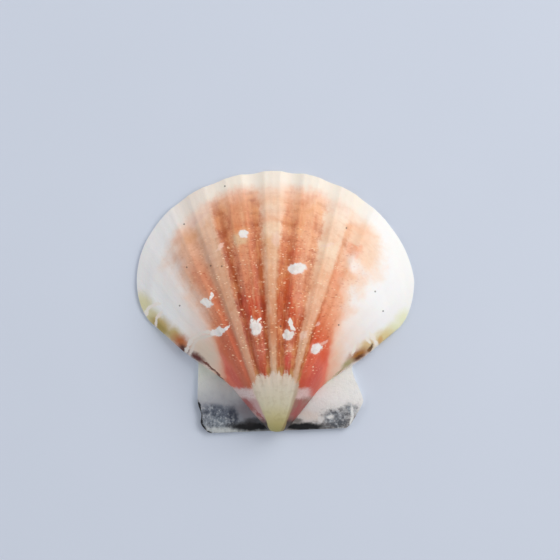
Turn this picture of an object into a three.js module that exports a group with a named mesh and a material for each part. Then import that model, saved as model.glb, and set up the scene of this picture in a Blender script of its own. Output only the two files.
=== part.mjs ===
// One valve of a scallop shell, lying on its open side with the ribbed outside up.
// Millimetres, +Z up. The hinge side faces -Y and the fan opens towards +Y.
//
// The shell is one closed surface of rays and rows that meet at the beak. Rays are numbered in ribs:
// 0 is near the middle rib, +-5 are the outermost ribs, and half numbers lie in the grooves.
// Along a ray the surface turns about the hinge as it shrinks, as the spiral of a real valve does.
// The two ears carry the rows on past the fan's flanks, down to the hinge line.

import * as THREE from "three";

const { degToRad, lerp, smoothstep } = THREE.MathUtils;

// The fan's outline from above, measured from the beak
const FAN_HEIGHT = 51.6;
const FAN_HALF_WIDTH = 27.7;
const WIDEST_Y = 30;
const CORNER_WIDTH = 5.5;
const LEFT_CORNER_DEPTH = 9.6;
const RIGHT_CORNER_DEPTH = 10.6;
const CORNER_END = degToRad(64);
const RIGHT_FLATTENING = 0.9;

// Rays and ribs
const RIB_PITCH = degToRad(8.85);
const OUTER_RIB = 5;
const FLANK_RAY = 5.6;
const RIB_SHIFT = -0.08;
const RIB_HEIGHT = 0.85;
const OUTER_RIB_SHARE = 0.4;
const INNER_RIB_HEIGHT = 0.5;

// The spiral: how fast the shell shrinks as it turns about the hinge, and where the rows stop
const SHRINK = 2;
const NOTCH_TURN = degToRad(12.2);
const LAST_TURN = degToRad(150);

// The domed cross-section, full in the middle and steep at the flanks
const ARCH_FULLNESS = 2.4;
const ARCH_STEEPNESS = 0.62;

// The flanks draw in between these turns, behind the notch. The beak is blunt and leans over the hinge.
const CREASE_START = degToRad(7);
const CREASE_FULL = degToRad(25);
const CREASE_SHARE = 0.79;
const BEAK_ROUND = 0.4;
const BEAK_OVERHANG = 0.5;
const BEAK_SHIFT = 0.3;

// Walls
const EDGE_HEIGHT = 0.5;
const EDGE_ARCH = 0.6;
const LIP_TURN = degToRad(7);
const LIP_INSET = 0.22;
const EAR_HEIGHT = 0.95;
const EAR_DOME = 0.25;
const EAR_SHRINK = 0.9;
const EAR_TAPER = 0.985;
const INSIDE_SHARE = { x: 0.955, y: 0.953, z: 0.93 };
const HINGE_PLATE = 1.2;
const HINGE_BEVEL = 0.12;

// The ears' outlines after the notch, down to the corner at the hinge line, measured from the beak
const LEFT_EAR = [
  [-15.4, 11.9],
  [-15.5, 9.1],
  [-15.5, 5.6],
  [-14.8, 3.3],
  [-14.9, 1.4],
  [-13.7, -0.1],
  [-12.9, -0.5],
];
const RIGHT_EAR = [
  [15.3, 12.2],
  [15.8, 10.4],
  [16.6, 8.7],
  [17.5, 6.1],
  [17.0, 4.7],
  [16.2, 3.3],
  [15.1, 1.4],
  [14.1, 0.5],
];

// Mesh
const FREE_ROWS = 6;
const BEAK_ROWS = 17;
const BEAK_ROW_SPREAD = 1.4;
const RIB_STEPS = [-0.5, -0.4, -0.22, 0, 0.22, 0.4];
const FLANK_STEPS = [5.42, 5.54, FLANK_RAY];

// How much a ray belongs to the flanks, from 0 in the middle to 1
const flankShare = (ray) => smoothstep(Math.abs(ray), 1.5, 5.2);

// The fan's round front: where a ray from the beak meets an ellipse, flattened a little on the right
const WIDEST_RAY = Math.atan2(FAN_HALF_WIDTH, WIDEST_Y) / RIB_PITCH;
function frontEdge(side, r) {
  const across = Math.sin(r * RIB_PITCH);
  const along = Math.cos(r * RIB_PITCH);
  const front = FAN_HEIGHT - WIDEST_Y;
  const a = (across / FAN_HALF_WIDTH) ** 2 + (along / front) ** 2;
  const b = (WIDEST_Y * along) / front ** 2;
  const c = (WIDEST_Y / front) ** 2 - 1;
  const share = r / WIDEST_RAY;
  const flat = side > 0 ? 4 * RIGHT_FLATTENING * share ** 2 * (1 - share ** 2) : 0;
  const reach = (b + Math.sqrt(b * b - a * c)) / a - flat;
  return [side * reach * across, reach * along];
}

// The corner below the widest place: a smaller ellipse, entered at the pace the front leaves it with
const DROP_PER_RADIAN = FAN_HALF_WIDTH / Math.sin(WIDEST_RAY * RIB_PITCH) ** 2;
function cornerEdge(side, r) {
  const depth = side > 0 ? RIGHT_CORNER_DEPTH : LEFT_CORNER_DEPTH;
  const share = (r - WIDEST_RAY) / (FLANK_RAY - WIDEST_RAY);
  const rate = ((FLANK_RAY - WIDEST_RAY) * RIB_PITCH * DROP_PER_RADIAN) / depth;
  const angle = share * lerp(rate, CORNER_END, share);
  const x = FAN_HALF_WIDTH - CORNER_WIDTH * (1 - Math.cos(angle));
  return [side * x, WIDEST_Y - depth * Math.sin(angle)];
}

function fanEdge(ray) {
  const side = Math.sign(ray) || 1;
  const r = Math.min(Math.abs(ray), FLANK_RAY);
  return r <= WIDEST_RAY ? frontEdge(side, r) : cornerEdge(side, r);
}

const shrinkAt = (turn) => Math.exp(-SHRINK * turn);
const wallAt = (turn) => lerp(EDGE_HEIGHT, EAR_HEIGHT, smoothstep(turn, 0, NOTCH_TURN));
const shiftAt = (turn) => BEAK_SHIFT * smoothstep(turn, degToRad(15), degToRad(60));

// The outside of the fan with no ribs
function fanPoint(ray, turn) {
  const [edgeX, edgeY] = fanEdge(ray);
  const size = shrinkAt(turn);
  const flank = flankShare(ray);
  const drawn = flank * (1 - CREASE_SHARE) * smoothstep(turn, CREASE_START, CREASE_FULL);
  const round = flank * BEAK_ROUND * Math.sin(turn) ** 2 * Math.sign(ray);
  const behind = turn > Math.PI / 2 ? BEAK_OVERHANG * (1 - flank) : 1;
  const fromMiddle = Math.min(Math.abs(ray) / FLANK_RAY, 1);
  const arch = (1 - fromMiddle ** ARCH_FULLNESS) ** ARCH_STEEPNESS;
  return new THREE.Vector3(
    edgeX * size * (1 - drawn) + round + shiftAt(turn),
    edgeY * size * Math.cos(turn) * behind,
    wallAt(turn) + FAN_HEIGHT * size * Math.sin(turn) * arch,
  );
}

// Which way the fan with no ribs faces
function fanNormal(ray, turn) {
  const step = 1e-3;
  const r = Math.sign(ray) * Math.min(Math.abs(ray), FLANK_STEPS[1]);
  const across = fanPoint(r + step, turn).sub(fanPoint(r - step, turn));
  const along = fanPoint(r, turn + step).sub(fanPoint(r, turn - step));
  return along.cross(across).normalize();
}

// A rib across its width: near 1 on the broad crest and 0 in the groove. Ribs fade out to the flanks.
function ribProfile(ray) {
  const off = 2 * Math.abs(ray - RIB_SHIFT - Math.round(ray - RIB_SHIFT));
  const wave = 0.85 * (1 - smoothstep(off, 0.36, 0.86)) + 0.15 * (1 - off * off);
  const outer = lerp(1, OUTER_RIB_SHARE, smoothstep(Math.abs(ray), 2.8, 4.6));
  return wave * outer * (1 - smoothstep(Math.abs(ray), 5.1, FLANK_RAY));
}

function outsidePoint(ray, turn) {
  const rib = RIB_HEIGHT * ribProfile(ray) * shrinkAt(turn) ** 0.85;
  return fanPoint(ray, turn).addScaledVector(fanNormal(ray, turn), rib);
}

// The hollow side, a wall's thickness in from the outside. It is flat under the flanks, and its own
// ribs fade out towards the beak.
function insidePoint(ray, turn) {
  const rib = INNER_RIB_HEIGHT * ribProfile(ray) * shrinkAt(turn) ** 1.6;
  const lift = rib * lerp(EDGE_ARCH, 1, smoothstep(turn, 0, LIP_TURN));
  const p = fanPoint(ray, turn);
  return p.set(
    p.x * INSIDE_SHARE.x,
    p.y * INSIDE_SHARE.y + HINGE_PLATE,
    (p.z - wallAt(turn)) * INSIDE_SHARE.z + lift,
  );
}

// How much an ear's step belongs to the flank that it grows from, from 1 at the flank to 0
const rootShare = (ear, step) => (1 - step / ear.length) ** 2;

// The ears' top. A row starts on the flank, and shrinks a little slower than the flank does.
function earPoint(ear, step, turn) {
  const side = Math.sign(ear[0][0]);
  const flank = fanPoint(side * FLANK_RAY, turn);
  const notch = fanPoint(side * FLANK_RAY, NOTCH_TURN);
  const size = ((flank.x - shiftAt(turn)) / notch.x) ** EAR_SHRINK;
  const root = rootShare(ear, step);
  const [x, y] = ear[step - 1];
  return new THREE.Vector3(
    x * size + lerp(shiftAt(turn), flank.x - notch.x * size, root),
    y * size + root * (flank.y - notch.y * size),
    EAR_HEIGHT + EAR_DOME * size * Math.sin((Math.PI * step) / ear.length),
  );
}

// The ears' flat underside, which the shell rests on
function earUnderside(ear, step, turn) {
  const top = earPoint(ear, step, turn);
  const root = rootShare(ear, step);
  return new THREE.Vector3(
    top.x * lerp(EAR_TAPER, INSIDE_SHARE.x, root),
    top.y * lerp(EAR_TAPER, INSIDE_SHARE.y, root) + lerp(HINGE_BEVEL, HINGE_PLATE, root),
    0,
  );
}

// Rows from the free edge, past the notch, to the beak
const turns = [];
for (let i = 0; i < FREE_ROWS; i++) turns.push((NOTCH_TURN * i) / FREE_ROWS);
for (let i = 0; i <= BEAK_ROWS; i++)
  turns.push(lerp(NOTCH_TURN, LAST_TURN, (i / BEAK_ROWS) ** BEAK_ROW_SPREAD));

// Columns from the left ear's hinge line, over the fan, to the right ear's. Ears start at the notch.
function makeColumns() {
  const onFan = (ray) => ({
    firstRow: 0,
    above: (turn) => outsidePoint(ray, turn),
    below: (turn) => insidePoint(ray, turn),
  });
  const onEar = (ear, step) => ({
    firstRow: FREE_ROWS,
    above: (turn) => earPoint(ear, step, turn),
    below: (turn) => earUnderside(ear, step, turn),
  });
  const rays = [];
  for (let rib = -OUTER_RIB; rib <= OUTER_RIB; rib++)
    RIB_STEPS.forEach((step) => rays.push(rib + step + RIB_SHIFT));
  return [
    ...LEFT_EAR.map((_, i) => onEar(LEFT_EAR, LEFT_EAR.length - i)),
    ...FLANK_STEPS.toReversed().map((ray) => onFan(-ray)),
    ...rays.filter((ray) => Math.abs(ray) < FLANK_STEPS[0]).map(onFan),
    ...FLANK_STEPS.map(onFan),
    ...RIGHT_EAR.map((_, i) => onEar(RIGHT_EAR, i + 1)),
  ];
}

function shellGeometry() {
  const columns = makeColumns();
  const last = turns.length - 1;
  const points = [];
  const faces = [];
  const add = (p) => points.push(p) - 1;

  // One side of the wall, as columns of point numbers that all end at the beak
  function addSide(side, beak) {
    const at = (column, row) => (row < column.firstRow ? -1 : add(column[side](turns[row])));
    return {
      grid: columns.map((column) => turns.map((_, row) => at(column, row))),
      beak: add(beak),
    };
  }
  const top = addSide("above", new THREE.Vector3(BEAK_SHIFT, 0, EAR_HEIGHT - HINGE_BEVEL));
  const under = addSide("below", new THREE.Vector3(BEAK_SHIFT, HINGE_BEVEL, 0));

  function fill({ grid, beak }, facesUp) {
    const face = (a, b, c) => faces.push(facesUp ? [a, c, b] : [a, b, c]);
    for (let c = 0; c + 1 < columns.length; c++) {
      const first = Math.max(columns[c].firstRow, columns[c + 1].firstRow);
      for (let r = first; r < last; r++) {
        face(grid[c][r], grid[c + 1][r], grid[c + 1][r + 1]);
        face(grid[c][r], grid[c + 1][r + 1], grid[c][r + 1]);
      }
      face(grid[c][last], grid[c + 1][last], beak);
    }
  }
  fill(top, true);
  fill(under, false);

  // Columns and rows along the edge: up the left hinge line, round the shell and down to the beak
  const rim = [];
  const lastColumn = columns.length - 1;
  for (let r = last; r > FREE_ROWS; r--) rim.push([0, r]);
  columns.forEach(({ firstRow }, c) => {
    const before = columns[Math.max(c - 1, 0)].firstRow;
    const after = columns[Math.min(c + 1, lastColumn)].firstRow;
    for (let r = before; r > firstRow; r--) rim.push([c, r]);
    rim.push([c, firstRow]);
    for (let r = firstRow + 1; r <= after; r++) rim.push([c, r]);
  });
  for (let r = FREE_ROWS + 1; r <= last; r++) rim.push([lastColumn, r]);

  // The edge of the wall is a leaning lip and a flat band that the shell stands on
  const outer = [top.beak, ...rim.map(([c, r]) => top.grid[c][r])];
  const inner = [under.beak, ...rim.map(([c, r]) => under.grid[c][r])];
  const lip = outer.map((_, i) => {
    const from = points[outer[i]];
    const to = points[inner[i]];
    return add(from.clone().lerp(to, LIP_INSET).setZ(to.z));
  });
  const band = (a, b) =>
    a.forEach((_, i) => {
      const j = (i + 1) % a.length;
      faces.push([a[i], a[j], b[j]], [a[i], b[j], b[i]]);
    });
  band(outer, lip);
  band(lip, inner);

  const geometry = new THREE.BufferGeometry().setFromPoints(points);
  geometry.setIndex(faces.flat());
  return geometry;
}

// The origin is under the middle of the shell, on the plane that it rests on
function scallopShell() {
  const geometry = shellGeometry();
  geometry.computeBoundingBox();
  const middle = geometry.boundingBox.getCenter(new THREE.Vector3());
  geometry.translate(-middle.x, -middle.y, 0);
  geometry.computeVertexNormals();
  const shell = new THREE.MeshStandardMaterial({
    color: 0xe8b48f,
    roughness: 0.45,
    metalness: 0,
  });
  const mesh = new THREE.Mesh(geometry, shell);
  mesh.name = "scallop_shell";
  return mesh;
}

const part = new THREE.Group();
part.add(scallopShell());
export default part;
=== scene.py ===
"""One valve of a scallop shell, seen from straight above on a pale floor.

The fine surface follows the same rays and rows as the solid it replaces. Lengths are in millimetres,
measured from the beak, until the mesh is placed in the frame, which is in metres. Each point of the
surface carries its ray, its growth, its share across an ear and its place, and the materials paint
with those.
"""

import math

import bpy
import numpy as np
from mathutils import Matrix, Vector


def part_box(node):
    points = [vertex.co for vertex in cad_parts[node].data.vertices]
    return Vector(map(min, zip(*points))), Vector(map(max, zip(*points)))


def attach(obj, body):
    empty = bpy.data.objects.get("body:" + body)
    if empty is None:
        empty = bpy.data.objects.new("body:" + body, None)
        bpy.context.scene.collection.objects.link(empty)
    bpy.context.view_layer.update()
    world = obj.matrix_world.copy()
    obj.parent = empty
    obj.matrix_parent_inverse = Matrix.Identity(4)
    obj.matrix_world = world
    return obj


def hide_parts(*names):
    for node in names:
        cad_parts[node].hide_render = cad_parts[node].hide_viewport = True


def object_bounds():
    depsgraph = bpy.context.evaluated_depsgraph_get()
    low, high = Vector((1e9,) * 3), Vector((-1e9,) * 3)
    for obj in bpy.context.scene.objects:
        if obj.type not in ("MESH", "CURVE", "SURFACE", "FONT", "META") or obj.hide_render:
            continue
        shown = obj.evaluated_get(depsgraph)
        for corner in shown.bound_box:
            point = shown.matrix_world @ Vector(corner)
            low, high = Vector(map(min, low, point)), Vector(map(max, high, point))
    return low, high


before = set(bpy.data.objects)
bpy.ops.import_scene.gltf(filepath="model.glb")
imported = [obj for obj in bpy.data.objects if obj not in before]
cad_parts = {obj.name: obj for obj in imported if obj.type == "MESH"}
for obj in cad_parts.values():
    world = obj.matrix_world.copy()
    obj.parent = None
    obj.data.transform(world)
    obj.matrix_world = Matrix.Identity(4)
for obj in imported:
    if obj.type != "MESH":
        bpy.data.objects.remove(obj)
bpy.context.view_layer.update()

NODE = "scallop_shell"
MM = 0.001

# The fan's outline from above
FAN_HEIGHT = 51.6
FAN_HALF_WIDTH = 27.7
WIDEST_Y = 30
CORNER_WIDTH = 5.5
LEFT_CORNER_DEPTH = 9.6
RIGHT_CORNER_DEPTH = 10.6
CORNER_END = math.radians(64)
RIGHT_FLATTENING = 0.9

# Rays and ribs
RIB_PITCH = math.radians(8.85)
FLANK_RAY = 5.6
RIB_SHIFT = -0.08
RIB_HEIGHT = 0.85
OUTER_RIB_SHARE = 0.4
INNER_RIB_HEIGHT = 0.5
CREST_END = 0.36
GROOVE_START = 0.86
ROUND_SHARE = 0.15
OUTER_RIBS = (2.8, 4.6)
FADING_RIBS = (5.1, FLANK_RAY)
RIB_GROWTH = 0.85
INNER_RIB_GROWTH = 1.6

# Fine relief, as shares of the rib height, and where along and across the shell it comes and goes
RIBLET = 0.018
RIBLETS_PER_RIB = 5
RIBLETS_GROW = (0.2, 0.5)
RIBLETS_FADE = (2.9, 3.6)
LEDGE = -0.07
LEDGE_RISE = 0.008
LEDGE_FALL = 0.06
LEDGE_WAVE = 0.006
LEDGES_FADE = (4.8, 5.5)
GROWTH_STOPS = [0.22, 0.345, 0.45, 0.63, 0.80, 0.93]

# Ribs worn lower: what is left of them, by growth and across
UMBO_RIB_SHARE = 0.06
UMBO_WORN = (0.14, 0.34)
OUTER_WORN_SHARE = 0.3
OUTER_WORN = (2.1, 3.6)
RIM_WORN_SHARE = 0.4
RIM_WORN = (0.8, 0.97)
RIM_WORN_ACROSS = (0.6, 1.6)
RIM_WORN_MIDDLE = 0.5

# The spiral and the domed cross-section
SHRINK = 2
NOTCH_TURN = math.radians(12.2)
LAST_TURN = math.radians(150)
ARCH_FULLNESS = 2.4
ARCH_STEEPNESS = 0.62
FLANK = (1.5, 5.2)
CREASE_START = math.radians(7)
CREASE_FULL = math.radians(25)
CREASE_SHARE = 0.79
BEAK_ROUND = 0.4
BEAK_OVERHANG = 0.5
BEAK_SHIFT = 0.3
BEAK_SHIFT_TURNS = (math.radians(15), math.radians(60))

# Walls
EDGE_HEIGHT = 0.5
EDGE_ARCH = 0.6
LIP_TURN = math.radians(7)
LIP_INSET = 0.22
EAR_HEIGHT = 0.95
EAR_DOME = 0.25
EAR_SHRINK = 0.9
EAR_TAPER = 0.985
INSIDE_SHARE = (0.955, 0.953, 0.93)
HINGE_PLATE = 1.2
HINGE_BEVEL = 0.12

# The ears' outlines after the notch, down to the corner at the hinge line
LEFT_EAR = [
    (-15.4, 11.9), (-15.5, 9.1), (-15.5, 5.6), (-14.8, 3.3),
    (-14.9, 1.4), (-13.7, -0.1), (-12.9, -0.5),
]
RIGHT_EAR = [
    (15.3, 12.2), (15.8, 10.4), (16.6, 8.7), (17.5, 6.1),
    (17.0, 4.7), (16.2, 3.3), (15.1, 1.4), (14.1, 0.5),
]

# Mesh
RAYS_PER_RIB = 30
FREE_ROWS = 34
FAN_ROWS = 60
BEAK_ROWS = 10
EAR_COLUMNS = 30
EVEN_RAYS_END = 5.4
FLANK_RAYS = [5.44, 5.49, 5.53, 5.56, 5.585, FLANK_RAY]
LAST_EVEN_TURN = math.radians(76)
TURN_SAMPLES = 4000
NORMAL_STEP = 0.001
NORMAL_MARGIN = 0.06
SHARP_ANGLE = math.radians(50)
OUTSIDE_SLOT, INSIDE_SLOT, EAR_SLOT = 0, 1, 2


def smoothstep(x, low, high):
    t = np.clip((x - low) / (high - low), 0, 1)
    return t * t * (3 - 2 * t)


def lerp(a, b, share):
    return a + (b - a) * share


WIDEST_RAY = math.atan2(FAN_HALF_WIDTH, WIDEST_Y) / RIB_PITCH
DROP_PER_RADIAN = FAN_HALF_WIDTH / math.sin(WIDEST_RAY * RIB_PITCH) ** 2


def fan_edge(ray):
    """Where rays meet the fan's edge, as x and y."""
    right = ray >= 0
    r = np.minimum(abs(ray), FLANK_RAY)
    across = np.sin(r * RIB_PITCH)
    along = np.cos(r * RIB_PITCH)
    front = FAN_HEIGHT - WIDEST_Y
    a = (across / FAN_HALF_WIDTH) ** 2 + (along / front) ** 2
    b = WIDEST_Y * along / front**2
    c = (WIDEST_Y / front) ** 2 - 1
    share = r / WIDEST_RAY
    flat = np.where(right, 4 * RIGHT_FLATTENING * share**2 * (1 - share**2), 0)
    reach = (b + np.sqrt(np.maximum(b * b - a * c, 0))) / a - flat
    depth = np.where(right, RIGHT_CORNER_DEPTH, LEFT_CORNER_DEPTH)
    turned = (r - WIDEST_RAY) / (FLANK_RAY - WIDEST_RAY)
    rate = (FLANK_RAY - WIDEST_RAY) * RIB_PITCH * DROP_PER_RADIAN / depth
    angle = turned * lerp(rate, CORNER_END, turned)
    corner_x = FAN_HALF_WIDTH - CORNER_WIDTH * (1 - np.cos(angle))
    corner_y = WIDEST_Y - depth * np.sin(angle)
    in_corner = r > WIDEST_RAY
    x = np.where(in_corner, corner_x, reach * across)
    y = np.where(in_corner, corner_y, reach * along)
    return np.where(right, x, -x), y


def shrink_at(turn):
    return np.exp(-SHRINK * turn)


def wall_at(turn):
    return lerp(EDGE_HEIGHT, EAR_HEIGHT, smoothstep(turn, 0, NOTCH_TURN))


def shift_at(turn):
    return BEAK_SHIFT * smoothstep(turn, *BEAK_SHIFT_TURNS)


def fan_point(ray, turn):
    """The outside of the fan with no ribs."""
    edge_x, edge_y = fan_edge(ray)
    size = shrink_at(turn)
    flank = smoothstep(abs(ray), *FLANK)
    drawn = flank * (1 - CREASE_SHARE) * smoothstep(turn, CREASE_START, CREASE_FULL)
    blunt = flank * BEAK_ROUND * np.sin(turn) ** 2 * np.sign(ray)
    behind = np.where(turn > math.pi / 2, BEAK_OVERHANG * (1 - flank), 1)
    from_middle = np.minimum(abs(ray) / FLANK_RAY, 1)
    arch = (1 - from_middle**ARCH_FULLNESS) ** ARCH_STEEPNESS
    x = edge_x * size * (1 - drawn) + blunt + shift_at(turn)
    y = edge_y * size * np.cos(turn) * behind
    z = wall_at(turn) + FAN_HEIGHT * size * np.sin(turn) * arch
    return np.stack(np.broadcast_arrays(x, y, z), -1)


def fan_normal(ray, turn):
    r = np.sign(ray) * np.minimum(abs(ray), FLANK_RAY - NORMAL_MARGIN)
    across = fan_point(r + NORMAL_STEP, turn) - fan_point(r - NORMAL_STEP, turn)
    along = fan_point(r, turn + NORMAL_STEP) - fan_point(r, turn - NORMAL_STEP)
    normal = np.cross(along, across)
    return normal / np.linalg.norm(normal, axis=-1, keepdims=True)


def rib_profile(ray):
    """1 on a rib's broad crest and 0 in a groove. Ribs fade out to the flanks."""
    off = 2 * abs(ray - RIB_SHIFT - np.round(ray - RIB_SHIFT))
    wave = lerp(1 - smoothstep(off, CREST_END, GROOVE_START), 1 - off * off, ROUND_SHARE)
    outer = lerp(1, OUTER_RIB_SHARE, smoothstep(abs(ray), *OUTER_RIBS))
    return wave * outer * (1 - smoothstep(abs(ray), *FADING_RIBS))


def waves(u, v):
    """Soft, uneven waves between about -1 and 1."""
    first = np.sin(u + 1.3 * np.sin(0.7 * v))
    second = np.sin(1.7 * v + 1.1 * np.sin(0.9 * u))
    third = np.sin(1.3 * (u + v))
    return (first + second + third) / 3


def growth_at(turn):
    """How far the shell has grown, as seen from above: 1 at the front edge and 0 at the beak."""
    return shrink_at(turn) * np.maximum(np.cos(turn), 0)


def fine_relief(ray, turn):
    """Riblets along the ribs and the ledges where growth once stopped, as a share of the rib height."""
    grown = growth_at(turn)
    riblets = RIBLET * np.cos(2 * math.pi * RIBLETS_PER_RIB * (ray - RIB_SHIFT))
    riblets = riblets * smoothstep(grown, *RIBLETS_GROW) * (1 - smoothstep(abs(ray), *RIBLETS_FADE))
    ledges = 0
    for at in GROWTH_STOPS:
        wavy = at + LEDGE_WAVE * waves(2.3 * ray, 5 * at)
        rises = smoothstep(grown, wavy - LEDGE_RISE, wavy)
        falls = smoothstep(grown, wavy, wavy + LEDGE_FALL)
        ledges = ledges + LEDGE * (rises - falls)
    return riblets + ledges * (1 - smoothstep(abs(ray), *LEDGES_FADE))


def left_of_ribs(ray, turn):
    """The share of the ribs' height that wear has left, least at the beak, the sides and the rim."""
    grown = growth_at(turn)
    at_umbo = lerp(UMBO_RIB_SHARE, 1, smoothstep(grown, *UMBO_WORN))
    at_sides = lerp(1, OUTER_WORN_SHARE, smoothstep(abs(ray), *OUTER_WORN))
    across = lerp(RIM_WORN_MIDDLE, 1, smoothstep(abs(ray), *RIM_WORN_ACROSS))
    at_rim = lerp(1, RIM_WORN_SHARE, smoothstep(grown, *RIM_WORN) * across)
    return at_umbo * at_sides * at_rim


def outside(ray, turn):
    relief = rib_profile(ray) * left_of_ribs(ray, turn) + fine_relief(ray, turn)
    rib = RIB_HEIGHT * shrink_at(turn) ** RIB_GROWTH * relief
    return fan_point(ray, turn) + fan_normal(ray, turn) * rib[..., None]


def inside(ray, turn):
    rib = INNER_RIB_HEIGHT * rib_profile(ray) * shrink_at(turn) ** INNER_RIB_GROWTH
    lift = rib * lerp(EDGE_ARCH, 1, smoothstep(turn, 0, LIP_TURN))
    point = fan_point(ray, turn)
    point[..., 2] -= wall_at(turn)
    point *= INSIDE_SHARE
    point[..., 1] += HINGE_PLATE
    point[..., 2] += lift
    return point


def through(points, at):
    """A smooth curve through points, at a number of steps along it."""
    pts = np.array([points[0], *points, points[-1]], float)
    i = np.minimum(np.floor(at).astype(int), len(points) - 2)
    t = (at - i)[..., None]
    p0, p1, p2, p3 = (pts[i + k] for k in range(4))
    square = 2 * p0 - 5 * p1 + 4 * p2 - p3
    cube = 3 * p1 - p0 - 3 * p2 + p3
    return 0.5 * (2 * p1 + (p2 - p0) * t + square * t**2 + cube * t**3)


def ear_point(ear, share, turn):
    """The ears' top, where share goes from 0 at the flank to 1 at the hinge line."""
    side = math.copysign(1, ear[0][0])
    flank = fan_point(np.full_like(turn, side * FLANK_RAY), turn)
    notch = fan_point(np.array(side * FLANK_RAY), np.array(NOTCH_TURN))
    size = ((flank[..., 0] - shift_at(turn)) / notch[0]) ** EAR_SHRINK
    root = (1 - share) ** 2
    edge = through([tuple(notch[:2]), *ear], share * len(ear))
    x = edge[..., 0] * size + lerp(shift_at(turn), flank[..., 0] - notch[0] * size, root)
    y = edge[..., 1] * size + root * (flank[..., 1] - notch[1] * size)
    z = EAR_HEIGHT + EAR_DOME * size * np.sin(math.pi * share)
    return np.stack([x, y, z], -1)


def ear_underside(ear, share, turn):
    top = ear_point(ear, share, turn)
    root = (1 - share) ** 2
    x = top[..., 0] * lerp(EAR_TAPER, INSIDE_SHARE[0], root)
    y = top[..., 1] * lerp(EAR_TAPER, INSIDE_SHARE[1], root) + lerp(HINGE_BEVEL, HINGE_PLATE, root)
    return np.stack([x, y, np.zeros_like(x)], -1)


def shell_rows():
    """Turns from the free edge, past the notch, to the beak. Most are spaced evenly from above."""
    free = np.linspace(0, NOTCH_TURN, FREE_ROWS, endpoint=False)
    fine = np.linspace(0, LAST_EVEN_TURN, TURN_SAMPLES)
    seen = growth_at(fine)
    wanted = np.linspace(np.interp(NOTCH_TURN, fine, seen), seen[-1], FAN_ROWS)
    fan = np.interp(-wanted, -seen, fine)
    beak = np.linspace(fan[-1], LAST_TURN, BEAK_ROWS + 1)[1:]
    return np.concatenate([free, fan, beak])


def shell_rays():
    """Rays across the fan, closer together at the flanks."""
    even_count = round(2 * EVEN_RAYS_END * RAYS_PER_RIB) + 1
    middle = np.linspace(-EVEN_RAYS_END, EVEN_RAYS_END, even_count)
    flank = np.array(FLANK_RAYS)
    return np.concatenate([-flank[::-1], middle, flank])


def side_points(fan, ear, rays, shares, turns, start):
    """One side's points from ear to ear, and their numbers by column and row. -1 means no point."""
    ray_grid, turn_grid = np.meshgrid(rays, turns, indexing="ij")
    share_grid, ear_turns = np.meshgrid(shares, turns[FREE_ROWS:], indexing="ij")
    left = ear(LEFT_EAR, share_grid, ear_turns)[::-1]
    right = ear(RIGHT_EAR, share_grid, ear_turns)
    points = []
    grid = []
    for block, first in ((left, FREE_ROWS), (fan(ray_grid, turn_grid), 0), (right, FREE_ROWS)):
        for column in block:
            points.append(column)
            grid.append([-1] * first + list(range(start, start + len(column))))
            start += len(column)
    return np.concatenate(points), np.array(grid)


def side_faces(grid, beak, up):
    """One side's quads, and its triangles round the beak."""
    a, b = grid[:-1, :-1], grid[1:, :-1]
    c, d = grid[1:, 1:], grid[:-1, 1:]
    cells = np.stack([a, d, c, b] if up else [a, b, c, d], -1).reshape(-1, 4)
    ends = np.stack([grid[:-1, -1], grid[1:, -1]], -1)
    tip = np.full((len(ends), 1), beak)
    return cells[(cells >= 0).all(1)], np.hstack([ends[:, ::-1], tip] if up else [ends, tip])


def edge_faces(a, b):
    """Quads between two closed rows of points."""
    return np.stack([a, np.roll(a, -1), np.roll(b, -1), b], -1)


def shell_mesh():
    """The closed surface: points, quads, triangles, each face's slot and what each point carries."""
    turns = shell_rows()
    rays = shell_rays()
    shares = np.linspace(0, 1, EAR_COLUMNS + 1)[1:]
    top_points, top = side_points(outside, ear_point, rays, shares, turns, 0)
    count = len(top_points)
    under_points, under = side_points(inside, ear_underside, rays, shares, turns, count)
    beak = 2 * count
    beaks = [[BEAK_SHIFT, 0, EAR_HEIGHT - HINGE_BEVEL], [BEAK_SHIFT, HINGE_BEVEL, 0]]
    co = np.concatenate([top_points, under_points, beaks])

    rim = rim_of(len(shares), len(rays), len(turns))
    outer = np.array([beak] + [top[c, r] for c, r in rim])
    inner = np.array([beak + 1] + [under[c, r] for c, r in rim])
    lip_points = lerp(co[outer], co[inner], LIP_INSET)
    lip_points[:, 2] = co[inner, 2]
    lip = np.arange(len(co), len(co) + len(outer))
    co = np.concatenate([co, lip_points])

    top_quads, top_triangles = side_faces(top, beak, True)
    under_quads, under_triangles = side_faces(under, beak + 1, False)
    quads = [top_quads, under_quads, edge_faces(outer, lip), edge_faces(lip, inner)]
    triangles = [top_triangles, under_triangles]
    # These lists of faces alternate between outside and inside
    sides = [OUTSIDE_SLOT, INSIDE_SLOT] * 3
    slots = np.concatenate([np.full(len(part), slot) for part, slot in zip(quads + triangles, sides)])

    carried = carried_values(co, top, under, inner, lip, rays, shares, turns)
    return co, np.concatenate(quads), np.concatenate(triangles), slots, carried


def rim_of(ear_columns, fan_columns, rows):
    """Columns and rows along the edge: up the left hinge line, round the shell and down to the beak."""
    first = [FREE_ROWS] * ear_columns + [0] * fan_columns + [FREE_ROWS] * ear_columns
    last = len(first) - 1
    rim = [(0, r) for r in range(rows - 1, FREE_ROWS, -1)]
    for c, row in enumerate(first):
        rim += [(c, r) for r in range(first[max(c - 1, 0)], row, -1)]
        rim.append((c, row))
        rim += [(c, r) for r in range(row + 1, first[min(c + 1, last)] + 1)]
    rim += [(last, r) for r in range(FREE_ROWS + 1, rows)]
    return rim


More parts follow.
